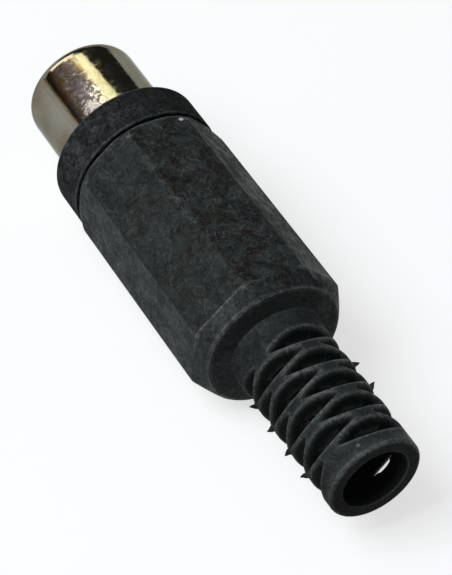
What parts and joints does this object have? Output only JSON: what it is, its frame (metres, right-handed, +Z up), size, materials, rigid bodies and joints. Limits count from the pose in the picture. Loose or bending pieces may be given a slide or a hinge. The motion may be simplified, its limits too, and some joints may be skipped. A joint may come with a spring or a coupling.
{
  "type": "phono socket connector",
  "caption": "In-line phono socket: nickel barrel around a centre contact, black octagonal screw-on cover and a slotted bend relief for the cable.",
  "frame": {"origin": "on the connector's axis, at the collar's front face where the barrel's shoulder seats", "axes": "+X along the axis towards the cable end, the barrel points to -X, +Z up out of one flat of the cover; it lies on the opposite flat"},
  "size_m": [0.0407, 0.011, 0.011],
  "materials": {
    "nickel_plate": "bright nickel plate over brass",
    "core_plastic": "plain moulded",
    "contact_plate": "thin bright plate over brass",
    "collar_plastic": "satin moulded",
    "tinned_strip": "dull tin plate over strip",
    "cover_plastic": "satin moulded, scuffed"
  },
  "bodies": {
    "socket": {"barrel": "nickel_plate", "insulator": "core_plastic", "centre_contact": "contact_plate", "front_body": "collar_plastic", "earth_tag": "tinned_strip"},
    "cover": {"rear_cover": "cover_plastic"}
  },
  "joints": [
    {"name": "cover_draw_off", "type": "slide", "parent": "socket", "child": "cover", "axis": [1, 0, 0], "range_m": [0, 0.016]}
  ]
}
